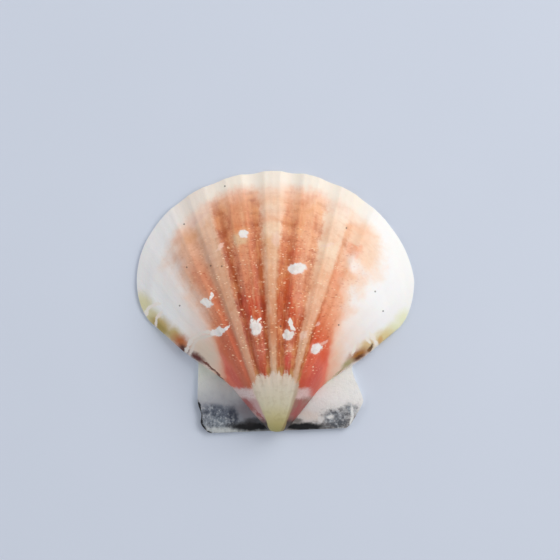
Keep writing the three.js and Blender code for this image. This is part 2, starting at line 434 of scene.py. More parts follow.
def carried_values(co, top, under, inner, lip, rays, shares, turns):
    """For each point: its ray from rib crests, its growth, and its share across an ear, -1 to 1."""
    ear_ray = np.full(len(shares), FLANK_RAY - RIB_SHIFT)
    column_ray = np.concatenate([-ear_ray, rays - RIB_SHIFT, ear_ray])
    column_ear = np.concatenate([-shares[::-1], np.zeros(len(rays)), shares])
    along = {"ray": column_ray[:, None], "growth": growth_at(turns)[None, :], "ear": column_ear[:, None]}
    carried = {}
    for name, values in along.items():
        carried[name] = np.zeros(len(co))
        for grid in (top, under):
            used = grid >= 0
            carried[name][grid[used]] = np.broadcast_to(values, grid.shape)[used]
        carried[name][lip] = carried[name][inner]
    return carried


# The shell's gloss and glow, and a height so large that a place's z plays no part
SHELL_IOR = 1.53
GLOW_RADIUS = (1.0, 0.6, 0.4)
GLOW_DEPTH = 0.6 * MM
ANY_HEIGHT = 1000
# The ends between which a texture darkens and lightens
SHADES = (0.54, 0.34)
LIGHTS = (0.48, 0.68)


def linear(rgb):
    """A colour as the eye sees it, 0 to 255, as the shader's linear colour."""
    c = np.array(rgb, float) / 255
    c = np.where(c <= 0.04045, c / 12.92, ((c + 0.055) / 1.055) ** 2.4)
    return (*c, 1.0)


class Shader:
    """Short calls that build one node material."""

    def __init__(self, name):
        self.material = bpy.data.materials.new(name)
        self.material.use_nodes = True
        self.tree = self.material.node_tree
        self.tree.nodes.clear()

    def node(self, kind, inputs=(), **settings):
        n = self.tree.nodes.new(kind)
        for key, value in settings.items():
            setattr(n, key, value)
        for key, value in dict(inputs).items():
            if isinstance(value, bpy.types.NodeSocket):
                self.tree.links.new(value, n.inputs[key])
            else:
                n.inputs[key].default_value = value
        return n

    def carried(self, name, output="Fac"):
        return self.node("ShaderNodeAttribute", attribute_name=name).outputs[output]

    def math(self, operation, a, b=0.0):
        return self.node("ShaderNodeMath", {0: a, 1: b}, operation=operation).outputs[0]

    def vector_math(self, operation, a, b):
        return self.node("ShaderNodeVectorMath", {0: a, 1: b}, operation=operation).outputs[0]

    def joined(self, operation, values):
        result = values[0]
        for value in values[1:]:
            result = self.math(operation, result, value)
        return result

    def all_of(self, *shares):
        return self.joined("MULTIPLY", shares)

    def any_of(self, *shares):
        return self.joined("MAXIMUM", shares)

    def rise(self, x, low, high):
        """0 below low and 1 above high. With high below low it falls instead."""
        ends = {"From Min": low, "From Max": high, "To Min": 0.0, "To Max": 1.0}
        if high < low:
            ends = {"From Min": high, "From Max": low, "To Min": 1.0, "To Max": 0.0}
        n = self.node("ShaderNodeMapRange", {"Value": x, **ends}, interpolation_type="SMOOTHSTEP")
        return n.outputs[0]

    def between(self, x, low, high, soft):
        return self.all_of(self.rise(x, low - soft, low + soft), self.rise(x, high + soft, high - soft))

    def mix(self, share, a, b, blend="MIX"):
        """Two colours mixed. One given as three numbers, 0 to 255, is as the eye sees it."""
        a, b = (linear(colour) if isinstance(colour, tuple) else colour for colour in (a, b))
        inputs = {0: share, 6: a, 7: b}
        return self.node("ShaderNodeMix", inputs, data_type="RGBA", blend_type=blend).outputs[2]

    def level(self, share, a, b):
        """A number between a and b."""
        return self.node("ShaderNodeMix", {0: share, 2: a, 3: b}).outputs[0]

    def ramp(self, x, stops):
        n = self.node("ShaderNodeValToRGB", {0: x})
        elements = n.color_ramp.elements
        while len(elements) < len(stops):
            elements.new(0.5)
        for element, (at, colour) in zip(elements, stops):
            element.position = at
            element.color = linear(colour)
        return n.outputs[0]

    def parts(self, vector):
        return self.node("ShaderNodeSeparateXYZ", {0: vector}).outputs

    def noise(self, vector, scale, detail=2.0, roughness=0.5, stretch=None):
        if stretch:
            vector = self.vector_math("MULTIPLY", vector, (*stretch, 1))
        inputs = {"Vector": vector, "Scale": scale, "Detail": detail, "Roughness": roughness}
        return self.node("ShaderNodeTexNoise", inputs).outputs[0]

    def ragged(self, vector, scale, amount, detail=2.0):
        """The same places, pushed about by noise."""
        n = self.node("ShaderNodeTexNoise", {"Vector": vector, "Scale": scale, "Detail": detail})
        centred = self.vector_math("SUBTRACT", n.outputs[1], (0.5,) * 3)
        return self.vector_math("ADD", vector, self.vector_math("MULTIPLY", centred, (amount,) * 3))

    def far(self, place, centre, size, tilt=0.0):
        """How far outside an ellipse a place is. 1 is on its edge. size holds its half-sizes."""
        inputs = {
            "Vector": place,
            "Location": (*centre, 0),
            "Rotation": (0, 0, math.radians(tilt)),
            "Scale": (*size, ANY_HEIGHT),
        }
        moved = self.node("ShaderNodeMapping", inputs, vector_type="TEXTURE")
        n = self.node("ShaderNodeVectorMath", {0: moved.outputs[0]}, operation="LENGTH")
        return n.outputs["Value"]

    def nearest(self, distances):
        return self.joined("MINIMUM", distances)

    def patch(self, place, centre, size, tilt, soft):
        return self.rise(self.far(place, centre, size, tilt), 1 + soft, 1 - soft)

    def finish(self, colour, roughness, height, depth, subsurface, gloss):
        bump = self.node("ShaderNodeBump", {"Height": height, "Distance": depth, "Strength": 1.0})
        inputs = {
            "Base Color": colour,
            "Roughness": roughness,
            "Normal": bump.outputs[0],
            "IOR": SHELL_IOR,
            "Subsurface Weight": subsurface,
            "Subsurface Radius": GLOW_RADIUS,
            "Subsurface Scale": GLOW_DEPTH,
            "Specular IOR Level": gloss,
        }
        shell = self.node("ShaderNodeBsdfPrincipled", inputs)
        self.node("ShaderNodeOutputMaterial", {"Surface": shell.outputs[0]})
        return self.material


# Chips where the coloured skin is gone, then fainter ones: place, half-sizes and tilt
CHIPS = [
    ((-3.9, 20.6), (1.1, 1.55), 12),
    ((-4.6, 22.3), (0.28, 0.6), 10),
    ((-3.2, 22.2), (0.3, 0.6), -15),
    ((4.2, 32.4), (1.8, 1.05), 5),
    ((2.5, 19.3), (1.05, 1.0), 35),
    ((3.2, 21.2), (0.4, 1.4), 22),
    ((8.1, 16.6), (1.25, 0.9), 40),
    ((-13.7, 25.6), (1.2, 0.75), -18),
    ((-12.6, 26.9), (0.35, 0.8), -10),
    ((-11.3, 19.9), (1.5, 0.75), 12),
    ((-9.6, 20.6), (0.3, 0.9), -40),
    ((-6.4, 39.3), (0.95, 0.8), 0),
]
FAINT_CHIPS = [
    ((5.7, 19.3), (0.9, 0.5), 45),
    ((-11.0, 36.6), (1.1, 0.3), 45),
    ((10.4, 37.0), (1.6, 0.25), 15),
    ((8.4, 21.4), (0.5, 0.3), 60),
    ((9.6, 17.8), (0.8, 0.3), 25),
    ((0.1, 38.2), (0.9, 1.3), 0),
]
# Dark specks, no wider than a grain of sand, and their half-width
SPECK = 0.17
SPECKS = [
    (-19.0, 25.0), (-10.1, 48.8), (14.1, 40.4), (19.8, 27.8),
    (21.4, 23.9), (-17.6, 32.6), (-12.8, 32.9), (-10.6, 32.8),
    (-18.2, 41.2), (12.5, 21.2), (1.0, 21.0), (-4.6, 22.6),
]
# Flecks: cells per millimetre, tilt, share left out, size, strength and colour
PALE_FLECKS = [
    (1.15, 35, 0.1, 0.34, 1.0, (255, 224, 190)),
    (1.0, -50, 0.3, 0.34, 0.9, (255, 206, 164)),
]
DARK_FLECKS = [
    (1.1, -20, 0.4, 0.40, 0.5, (176, 60, 28)),
    (1.3, 70, 0.4, 0.38, 0.4, (196, 88, 44)),
]


class Painter(Shader):
    """A shader that knows where it is on the shell. Its textures have a half in their middle."""

    def __init__(self, name):
        super().__init__(name)
        self.spot = self.carried("place", "Vector")
        self.ray = self.carried("ray")
        self.growth = self.carried("growth")
        self.off = self.math("ABSOLUTE", self.ray)
        self.x, self.y, _ = self.parts(self.spot)
        self.grid = self.node("ShaderNodeCombineXYZ", {0: self.ray, 1: self.growth}).outputs[0]
        self.streaks = self.noise(self.grid, 8, 4, 0.65, (1.0, 1.5))
        self.lines = self.noise(self.grid, 36, 3, 0.6, (0.04, 1.0))
        self.bands = self.noise(self.grid, 3.2, 4, 0.6, (0.8, 4.5))
        self.mottle = self.noise(self.spot, 0.9, 4, 0.6)
        self.grain = self.noise(self.spot, 2.6, 3, 0.65)
        self.clouds = self.noise(self.spot, 0.22, 3, 0.55)

    def stroke(self, place, points, width, soft):
        """A line through points, in millimetres, with soft, rounded ends."""
        parts = []
        for (x1, y1), (x2, y2) in zip(points, points[1:]):
            half = math.hypot(x2 - x1, y2 - y1) / 2
            middle = ((x1 + x2) / 2, (y1 + y2) / 2)
            tilt = math.degrees(math.atan2(y2 - y1, x2 - x1))
            parts.append(self.far(place, middle, (half * 1.25 + width * 0.3, width), tilt))
        return self.rise(self.nearest(parts), 1 + soft, 1 - soft)

    def painted(self, colour, place, strokes):
        for points, width, soft, strength, rgb in strokes:
            share = self.all_of(self.stroke(place, points, width, soft), strength)
            colour = self.mix(share, colour, rgb)
        return colour

    def nudged(self, value, texture, amount):
        """A value pushed up and down by a texture."""
        centred = self.math("SUBTRACT", texture, 0.5)
        return self.math("ADD", value, self.math("MULTIPLY", centred, amount))

    def shaded(self, colour, texture, strength, dark):
        """Darkened towards a colour where the texture is low."""
        share = self.all_of(self.rise(texture, *SHADES), strength)
        return self.mix(share, colour, dark, "MULTIPLY")

    def lit(self, colour, texture, strength, light):
        """Lightened towards a colour where the texture is high."""
        share = self.all_of(self.rise(texture, *LIGHTS), strength)
        return self.mix(share, colour, light)


# By growth: the middle rib and the second ones, which are pale, the coloured ones and their stripes
MIDDLE_RIB = [
    (0.20, (226, 206, 182)), (0.26, (229, 184, 150)), (0.30, (230, 178, 142)),
    (0.40, (222, 146, 104)), (0.50, (231, 166, 126)), (0.60, (242, 190, 154)),
    (0.70, (243, 194, 156)), (0.735, (240, 190, 148)), (0.76, (253, 222, 192)),
    (0.795, (253, 218, 188)), (0.81, (250, 200, 166)), (0.85, (253, 220, 194)),
    (0.89, (250, 206, 172)), (0.94, (254, 230, 208)),
]
SECOND_RIBS = [
    (0.20, (226, 192, 165)), (0.27, (229, 178, 144)), (0.35, (234, 186, 152)),
    (0.42, (236, 174, 136)), (0.50, (242, 186, 152)), (0.58, (246, 190, 154)),
    (0.66, (248, 198, 162)), (0.74, (253, 222, 194)), (0.80, (252, 216, 188)),
    (0.86, (254, 222, 196)), (0.93, (254, 230, 212)),
]
COLOURED_RIBS = [
    (0.22, (198, 92, 64)), (0.29, (212, 104, 80)), (0.325, (224, 134, 108)),
    (0.36, (208, 116, 82)), (0.44, (214, 104, 64)), (0.50, (230, 120, 82)),
    (0.57, (236, 152, 116)), (0.66, (244, 166, 126)), (0.78, (248, 180, 136)),
    (0.80, (240, 156, 112)), (0.825, (246, 176, 132)), (0.93, (254, 194, 156)),
]
STRIPES = [
    (0.22, (202, 120, 74)), (0.32, (196, 108, 56)), (0.42, (190, 84, 32)),
    (0.50, (198, 88, 30)), (0.60, (206, 116, 60)), (0.70, (218, 130, 84)),
    (0.78, (238, 168, 128)), (0.80, (208, 124, 80)), (0.825, (240, 174, 134)),
    (0.93, (252, 200, 168)),
]
# How far the paint lies beside the crests, in ribs, and how much narrower old pale paint is
ASIDE_SHIFT = 0.12
MIDDLE_SHIFT = 0.12
RIGHT_SHIFT = 0.07
NARROWING = 0.12


def coloured_ribs(s, side, on_stripe):
    """Red to orange with growth, redder inwards, with darker stripes. Painted light on the right,
    painted shade on the left stripes, a painted highlight on rib -1.
    """
    middle = s.ramp(s.growth, COLOURED_RIBS)
    stripe = s.ramp(s.growth, STRIPES)
    # Painted shade: the stripes on the left side are darker
    stripe = s.mix(s.rise(s.ray, -0.25, -0.7), stripe, (226, 206, 186), "MULTIPLY")
    colour = s.mix(on_stripe, middle, stripe)
    inner = s.between(s.nudged(s.off, s.grain, 0.2), 0.62, 0.92, 0.08)
    redder = s.all_of(inner, s.rise(s.growth, 0.90, 0.55), 0.35)
    colour = s.mix(redder, colour, (220, 104, 56))
    # Painted light: the right side is paler towards the front
    to_right = s.rise(s.nudged(s.ray, s.grain, 0.4), 0.8, 1.1)
    painted_light_right = s.all_of(to_right, s.rise(s.growth, 0.46, 0.62), 0.3)
    colour = s.mix(painted_light_right, colour, (255, 214, 180))
    old = s.between(s.nudged(s.growth, s.streaks, 0.08), 0.41, 0.53, 0.04)
    red = s.all_of(old, s.rise(side, 0.50, 0.72), 0.4)
    colour = s.mix(red, colour, (212, 70, 28))
    # A painted highlight: a pale line along the right shoulder of rib -1, on the side towards the light
    rib_highlight = s.between(s.nudged(s.ray, s.grain, 0.16), -0.95, -0.86, 0.05)
    rib_highlight = s.all_of(rib_highlight, s.between(s.growth, 0.5, 0.96, 0.04), 0.55)
    return s.mix(rib_highlight, colour, (252, 204, 164))


def weathered(s, colour, on_stripe):
    """Streaks, growth lines, bands and grain over the coloured ribs, and an olive edge at the umbo."""
    grain_share = s.level(s.rise(s.growth, 0.55, 0.8), 0.4, 0.1)
    colour = s.shaded(colour, s.streaks, 0.22, (228, 186, 162))
    colour = s.shaded(colour, s.lines, s.all_of(on_stripe, 0.35), (206, 150, 104))
    colour = s.shaded(colour, s.bands, 0.4, (226, 178, 152))
    colour = s.shaded(colour, s.grain, grain_share, (222, 180, 156))
    colour = s.lit(colour, s.streaks, 0.2, (252, 200, 150))
    colour = s.lit(colour, s.bands, 0.35, (252, 184, 124))
    oldest = s.between(s.nudged(s.growth, s.mottle, 0.04), 0.21, 0.25, 0.012)
    return s.mix(s.all_of(oldest, on_stripe, 0.5), colour, (186, 150, 84))


def pale_ribs(s):
    pale = s.mix(s.rise(s.off, 0.9, 1.1), s.ramp(s.growth, MIDDLE_RIB), s.ramp(s.growth, SECOND_RIBS))
    on_left = s.all_of(s.rise(s.ray, -1.2, -1.8), s.rise(s.growth, 0.95, 0.5), 0.6)
    pale = s.mix(on_left, pale, (240, 207, 178))
    pale = s.shaded(pale, s.lines, 0.1, (236, 218, 204))
    pale = s.shaded(pale, s.bands, 0.35, (240, 214, 192))
    return s.lit(pale, s.bands, 0.25, (252, 226, 202))


def is_pale(s, across):
    """1 on ribs 0, 2 and -2. The first two are narrower and further left where they are old."""
    middle = s.all_of(s.rise(s.growth, 0.95, 0.5), s.rise(s.off, 1.2, 0.8))
    right = s.all_of(s.rise(s.growth, 0.55, 0.35), s.rise(s.ray, 1.0, 1.4))
    shifted = s.math("ADD", across, s.all_of(middle, MIDDLE_SHIFT))
    shifted = s.math("ADD", shifted, s.all_of(right, RIGHT_SHIFT))
    narrower = s.all_of(s.math("ADD", middle, right), NARROWING)
    from_crest = s.math("ADD", s.math("PINGPONG", shifted, 1.0), narrower)
    return s.all_of(s.rise(from_crest, 0.46, 0.26), s.rise(s.off, 3.0, 2.6))


def rib_colours(s):
    """Pale ribs 0, 2 and -2, and the coloured ribs between, with brown stripes along their sides."""
    aside = s.any_of(s.rise(s.ray, -0.5, -1.5), s.rise(s.ray, 0.9, 1.5))
    across = s.math("ADD", s.ray, s.all_of(aside, ASIDE_SHIFT))
    across = s.nudged(s.nudged(s.nudged(across, s.mottle, 0.24), s.grain, 0.12), s.bands, 0.16)
    side = s.math("PINGPONG", across, 1.0)
    on_stripe = s.all_of(s.rise(side, 0.81, 0.60), s.rise(s.off, 2.9, 2.3))
    coloured = weathered(s, coloured_ribs(s, side, on_stripe), on_stripe)
    return s.mix(is_pale(s, across), coloured, pale_ribs(s))


# By growth: the third ribs, and the flanks past them
OUTER_RIB_COLOURS = [
    (0.20, (198, 88, 60)), (0.30, (228, 108, 80)), (0.41, (226, 98, 58)),
    (0.46, (228, 120, 78)), (0.52, (242, 157, 115)), (0.60, (245, 173, 134)),
    (0.70, (248, 195, 160)), (0.80, (251, 207, 178)), (0.86, (252, 212, 182)),
    (0.92, (252, 230, 211)),
]
FLANK_COLOURS = [
    (0.22, (208, 96, 78)), (0.31, (232, 122, 100)), (0.41, (240, 122, 96)),
    (0.455, (250, 186, 156)), (0.50, (252, 212, 188)), (0.57, (253, 234, 224)),
    (0.66, (252, 245, 241)), (0.75, (251, 249, 248)),
]
# Soft blotches: place, half-sizes, tilt, strength and colour
BLOTCHES = [
    ((15.2, 43.0), (3.0, 1.4), -35, 0.7, (255, 238, 220)),
    ((16.8, 40.0), (2.4, 1.2), -30, 0.6, (252, 190, 148)),
    ((15.6, 35.8), (1.3, 1.0), 0, 0.75, (244, 158, 114)),
    ((15.9, 33.0), (1.2, 2.2), 10, 0.85, (254, 240, 232)),
    ((18.4, 33.0), (1.7, 2.0), 0, 0.5, (254, 216, 186)),
    ((12.6, 30.4), (1.3, 2.4), -15, 0.5, (244, 150, 108)),
    ((13.8, 28.4), (1.0, 1.6), 0, 0.4, (255, 214, 190)),
    ((-17.1, 38.4), (1.2, 1.7), 0, 0.6, (232, 172, 124)),
    ((-20.0, 39.0), (1.2, 1.3), 0, 0.6, (240, 192, 168)),
    ((-19.8, 33.6), (2.0, 1.9), 30, 0.6, (234, 196, 176)),
    ((-15.0, 30.2), (1.5, 2.6), 22, 0.6, (238, 162, 124)),
    ((-15.6, 42.0), (2.6, 0.9), 38, 0.5, (240, 214, 208)),
    ((-13.0, 35.2), (0.9, 3.0), 18, 0.5, (236, 206, 188)),
    ((-6.7, 37.9), (1.1, 1.0), 0, 0.8, (244, 216, 176)),
    ((-6.2, 34.6), (0.7, 2.2), 8, 0.4, (240, 176, 142)),
    ((-5.1, 25.4), (1.0, 1.9), 8, 0.5, (216, 74, 48)),
    ((-4.4, 30.8), (1.0, 3.2), 8, 0.35, (206, 112, 74)),
    ((-12.0, 27.0), (0.7, 2.6), 18, 0.45, (218, 108, 70)),
    ((-2.4, 15.6), (0.7, 1.6), 8, 0.5, (218, 132, 110)),
    ((4.2, 35.4), (1.3, 1.2), 0, 0.45, (226, 104, 68)),
    ((2.6, 28.6), (0.9, 2.4), -4, 0.45, (222, 92, 50)),
    ((4.8, 25.6), (0.8, 3.0), -10, 0.5, (244, 170, 136)),
    ((2.6, 14.4), (0.7, 1.0), 0, 0.6, (224, 92, 82)),
    ((2.8, 16.5), (0.8, 0.5), 0, 0.6, (240, 176, 150)),
]


def outer_colours(s, colour):
    """Past the second ribs red turns to peach with growth, and past the third ones to white."""
    peach = s.ramp(s.growth, OUTER_RIB_COLOURS)
    off = s.nudged(s.off, s.mottle, 0.3)
    colour = s.mix(s.rise(off, 2.22, 2.56), colour, peach)
    browner = s.all_of(s.rise(s.ray, -1.0, -2.6), s.rise(s.growth, 0.52, 0.44), 0.55)
    colour = s.mix(browner, colour, (222, 138, 106))
    outwards = s.rise(s.nudged(s.off, s.clouds, 1.4), 2.6, 3.3)
    lighter = s.all_of(outwards, s.rise(s.growth, 0.45, 0.68), 0.6)
    colour = s.mix(lighter, colour, (254, 222, 198))
    white = s.ramp(s.nudged(s.growth, s.clouds, 0.14), FLANK_COLOURS)
    uneven = s.ragged(s.spot, 0.45, 3.4, 1.0)
    for place, size, tilt, strength, rgb in BLOTCHES:
        share = s.all_of(s.patch(uneven, place, size, tilt, 0.7), strength)
        colour = s.mix(share, colour, rgb)
    young = s.all_of(s.rise(s.growth, 0.7, 0.95), s.rise(s.ray, 1.0, 3.0), 0.35)
    limit = s.math("SUBTRACT", s.nudged(s.nudged(s.off, s.clouds, 1.7), s.mottle, 0.25), young)
    low = s.all_of(s.rise(s.growth, 0.62, 0.46), 0.3)
    colour = s.mix(s.rise(s.math("SUBTRACT", limit, low), 2.9, 3.95), colour, white)
    vivid = s.between(s.nudged(s.ray, s.mottle, 0.5), 3.5, 4.4, 0.25)
    vivid = s.all_of(vivid, s.between(s.growth, 0.37, 0.45, 0.03), 0.7)
    colour = s.mix(vivid, colour, (222, 84, 44))
    old = s.between(s.nudged(s.growth, s.streaks, 0.08), 0.2, 0.36, 0.04)
    crimson = s.all_of(s.rise(s.ray, 3.1, 3.7), old, 0.75)
    return s.mix(crimson, colour, (208, 86, 68))


def left_half_painted_shade(s, colour):
    """Painted shade: the left half's colours are multiplied a little darker than the right half's, as
    shade on the side away from the light.
    """
    # Painted shade, deepest over the left's outer ribs between the umbo and the front
    share = s.all_of(s.rise(s.ray, -1.0, -2.6), s.rise(s.off, 3.7, 2.9), s.rise(s.growth, 0.4, 0.55))
    share = s.all_of(share, s.rise(s.growth, 0.96, 0.7))
    # A lighter painted shade over the rest of the left half, short of the far flank
    tinted = s.all_of(s.rise(s.ray, 0.3, -1.0), s.rise(s.off, 4.6, 3.5))
    colour = s.mix(tinted, colour, (244, 236, 232), "MULTIPLY")
    return s.mix(share, colour, (242, 228, 222), "MULTIPLY")


def front_edge(s, colour):
    """The newest growth, along the front, is cream white. It is wider towards the flanks. Its cream is a
    little darker on the left: painted shade.
    """
    reach = s.level(s.rise(s.ray, -1.5, 1.5), 0.05, 0.02)
    wider = s.all_of(s.rise(s.off, 1.2, 4.0), reach)
    uneven = s.nudged(s.nudged(s.growth, s.mottle, 0.03), s.clouds, 0.04)
    grown = s.math("ADD", s.nudged(uneven, s.streaks, 0.012), wider)
    cream = s.mix(s.rise(s.off, 2.2, 3.2), (250, 238, 224), (252, 250, 247))
    # Painted shade: the cream is a little darker on the left side
    cream = s.mix(s.rise(s.ray, -1.2, -2.0), cream, (245, 244, 246), "MULTIPLY")
    halo = s.all_of(s.rise(grown, 0.87, 0.95), s.rise(s.off, 3.4, 2.6), 0.45)
    colour = s.mix(halo, colour, (252, 216, 196))
    return s.mix(s.rise(grown, 0.92, 0.972), colour, cream)


# By growth: the worn umbo
UMBO_COLOURS = [
    (0.0, (184, 172, 102)), (0.03, (202, 188, 126)), (0.065, (216, 204, 156)),
    (0.11, (223, 213, 185)), (0.17, (224, 212, 192)), (0.22, (230, 210, 192)),
]


def umbo(s, colour):
    """The oldest growth is worn to cream, olive at the beak."""
    cream = s.ramp(s.growth, UMBO_COLOURS)
    cream = s.shaded(cream, s.mottle, 0.3, (222, 212, 200))
    cream = s.mix(s.rise(s.ray, 1.9, 2.3), cream, (224, 212, 206), "MULTIPLY")
    spikes = s.noise(s.grid, 1.7, 3, 0.7, (1.0, 2.0))
    edge = s.nudged(s.nudged(s.growth, spikes, 0.11), s.grain, 0.035)
    edge = s.math("ADD", edge, s.all_of(s.off, s.off, 0.0035))
    within = s.nudged(s.nudged(s.off, s.mottle, 0.35), s.grain, 0.3)
    within = s.math("SUBTRACT", within, s.rise(s.growth, 0.05, 0.0))
    worn = s.all_of(s.rise(edge, 0.240, 0.220), s.rise(within, 2.78, 2.34))
    return s.mix(worn, colour, cream)


def beside_the_umbo(s, colour):
    """A pinkish growth stop across the outer ribs, with maroon below it, and painted shade, nearly
    black, low down beside the beak.
    """
    beside = s.rise(s.nudged(s.off, s.mottle, 0.3), 2.3, 2.6)
    uneven = s.ragged(s.spot, 0.9, 1.5)
    y = s.nudged(s.nudged(s.y, s.mottle, 1.2), s.grain, 0.7)
    deep = s.any_of(
        s.stroke(uneven, [(-9.6, 12.6), (-7.4, 9.6)], 0.8, 0.6),
        s.stroke(uneven, [(7.0, 10.4), (5.4, 9.6)], 0.7, 0.6),
        s.stroke(uneven, [(8.8, 12.6), (7.6, 10.2)], 0.4, 0.6),
    )
    colour = s.mix(s.all_of(beside, deep, 0.5), colour, (206, 78, 62))
    rosy = s.mix(s.rise(s.ray, -1, 1), (206, 168, 164), (164, 116, 104))
    colour = s.mix(s.all_of(beside, s.rise(y, 7.3, 6.5)), colour, rosy)
    maroon = s.any_of(
        s.stroke(uneven, [(-6.3, 6.2), (-4.5, 4.6)], 0.75, 0.5),
        s.stroke(uneven, [(-4.3, 4.4), (-2.2, 2.2)], 0.22, 0.5),
        s.stroke(uneven, [(5.0, 5.6), (3.6, 2.6)], 0.75, 0.6),
        s.stroke(uneven, [(6.2, 5.4), (5.2, 4.2)], 0.5, 0.6),
    )
    colour = s.mix(s.all_of(beside, maroon, 0.8), colour, (172, 82, 78))
    stop_end = s.rise(s.nudged(s.x, s.grain, 1.5), 7.8, 6.0)
    strength = s.level(s.rise(s.x, -1, 1), 0.9, 0.72)
    stop = s.all_of(beside, s.between(y, 6.7, 8.7, 0.45), stop_end, strength)
    stop_colour = s.shaded((230, 212, 208), s.grain, 0.6, (226, 206, 204))
    colour = s.mix(stop, colour, stop_colour)
    # Painted shade: nearly black low down beside the beak, in the creases next to the ears
    low = s.all_of(beside, s.rise(s.nudged(s.y, s.mottle, 1.0), 3.3, 1.5))
    return s.mix(low, colour, (66, 52, 44))


# Yellow, olive and brown along the flanks, and white growth lines: points, width, softness and colour
SOFT = 0.7
SHARP = 0.4
FLANK_STROKES = [
    ([(-26.8, 26.6), (-25.6, 23.8), (-23.8, 21.6)], 1.5, SOFT, (228, 221, 180)),
    ([(-23.8, 22.0), (-21.4, 19.9), (-19.4, 18.6)], 1.4, SOFT, (212, 186, 126)),
    ([(-24.3, 21.9), (-22.0, 19.8)], 0.7, SOFT, (184, 160, 88)),
    ([(-19.6, 18.3), (-17.6, 16.9)], 1.3, SOFT, (198, 112, 60)),
    ([(-18.9, 16.7), (-17.8, 15.9)], 0.75, SOFT, (92, 38, 18)),
    ([(-23.0, 25.4), (-24.6, 25.0), (-25.7, 24.0), (-25.9, 23.0)], 0.34, SHARP, (252, 242, 232)),
    ([(-22.8, 23.5), (-23.7, 22.2), (-24.0, 20.9)], 0.34, SHARP, (252, 238, 226)),
    ([(-15.8, 17.4), (-12.6, 14.0)], 1.9, SOFT, (236, 214, 194)),
    ([(-16.7, 15.4), (-14.6, 14.0)], 0.7, SOFT, (104, 42, 32)),
    ([(-11.5, 20.0), (-14.6, 19.7), (-16.5, 18.5), (-17.4, 17.0), (-17.8, 15.7)],
     0.34, SHARP, (246, 234, 224)),
    ([(-12.6, 19.1), (-15.2, 18.6), (-16.3, 17.4), (-17.0, 15.3)], 0.36, SHARP, (240, 226, 214)),
    ([(-14.3, 13.9), (-12.1, 12.0), (-9.8, 9.4), (-8.6, 8.2)], 0.26, SHARP, (130, 74, 58)),
    ([(26.2, 23.0), (24.9, 20.9), (22.8, 19.1)], 1.6, SOFT, (240, 240, 206)),
    ([(22.8, 19.4), (20.4, 17.9)], 1.4, SOFT, (232, 212, 156)),
    ([(21.0, 18.6), (20.6, 17.4)], 0.5, SOFT, (222, 176, 112)),
    ([(19.2, 17.6), (17.2, 16.4)], 1.1, SOFT, (230, 200, 152)),
    ([(19.2, 17.0), (18.5, 15.9)], 0.34, SHARP, (102, 74, 40)),
    ([(17.9, 15.8), (15.2, 14.5)], 0.95, SOFT, (176, 114, 50)),
    ([(17.3, 15.0), (15.9, 14.3)], 0.38, SOFT, (104, 58, 20)),
    ([(18.9, 19.4), (19.7, 18.1), (20.3, 16.9)], 0.4, SHARP, (254, 244, 232)),
    ([(18.0, 18.7), (18.8, 17.6)], 0.26, SHARP, (254, 244, 232)),
    ([(15.9, 16.9), (15.3, 15.4)], 0.26, SHARP, (252, 242, 228)),
    ([(15.0, 14.0), (13.6, 12.8)], 0.55, SOFT, (186, 172, 126)),
    ([(13.2, 12.3), (11.4, 10.6)], 0.22, SHARP, (176, 140, 92)),
    ([(12.2, 11.4), (8.8, 7.8)], 0.18, SHARP, (240, 222, 190)),
]


def flank_marks(s, colour):
    place = s.ragged(s.ragged(s.spot, 0.8, 0.8), 3.0, 0.3)
    for points, width, softness, rgb in FLANK_STROKES:
        colour = s.mix(s.stroke(place, points, width, softness), colour, rgb)
    return colour


def on_flecks(s, scale, tilt, left_out, size):
    """1 on flecks of one kind. By chance some are left out."""
    inputs = {"Vector": s.spot, "Rotation": (0, 0, math.radians(tilt)), "Scale": (1, 2, 1)}
    turned = s.node("ShaderNodeMapping", inputs)
    uneven = s.ragged(turned.outputs[0], 3.0, 0.5)
    cells = s.node("ShaderNodeTexVoronoi", {"Vector": uneven, "Scale": scale})
    chance = s.parts(cells.outputs["Color"])[0]
    return s.all_of(s.rise(cells.outputs["Distance"], size, size / 2), s.rise(chance, left_out, 1.0))


def flecks(s, colour):
    """Gathered pale flecks, and dark ones on the coloured ribs, fewest at the flanks and the front."""
    inner = s.math("ADD", s.off, s.all_of(s.rise(s.growth, 0.42, 0.56), 0.9))
    grown = s.all_of(s.rise(s.growth, 0.24, 0.32), s.rise(s.growth, 0.92, 0.66))
    flecked = s.all_of(s.rise(inner, 4.9, 3.2), grown)
    gathered = s.rise(s.noise(s.spot, 0.5, 2), 0.38, 0.58)
    on_coloured = s.rise(s.math("PINGPONG", s.ray, 1.0), 0.3, 0.5)
    for kinds, where in ((PALE_FLECKS, gathered), (DARK_FLECKS, on_coloured)):
        for *kind, strength, rgb in kinds:
            share = s.all_of(on_flecks(s, *kind), strength, flecked, where)
            colour = s.mix(share, colour, rgb)
    return colour


def chips_and_specks(s, colour):
    """White chips with rosy edges, fainter ones, and a few dark specks."""
    torn = s.ragged(s.spot, 0.9, 1.5, 4)
    faint = s.rise(s.nearest([s.far(torn, *chip) for chip in FAINT_CHIPS]), 1.4, 0.6)
    colour = s.mix(s.all_of(faint, 0.55), colour, (250, 214, 198))
    far = s.nearest([s.far(torn, *chip) for chip in CHIPS])
    halo = s.all_of(s.rise(far, 1.6, 0.9), 0.2)
    colour = s.mix(halo, colour, (252, 196, 170))
    chalk = s.shaded((249, 241, 236), s.mottle, 0.5, (232, 222, 216))
    colour = s.mix(s.rise(far, 1.15, 0.85), colour, chalk)
    dark = s.rise(s.nearest([s.far(s.spot, spot, (SPECK, SPECK)) for spot in SPECKS]), 1.3, 0.7)
    return s.mix(s.all_of(dark, 0.7), colour, (60, 44, 40))


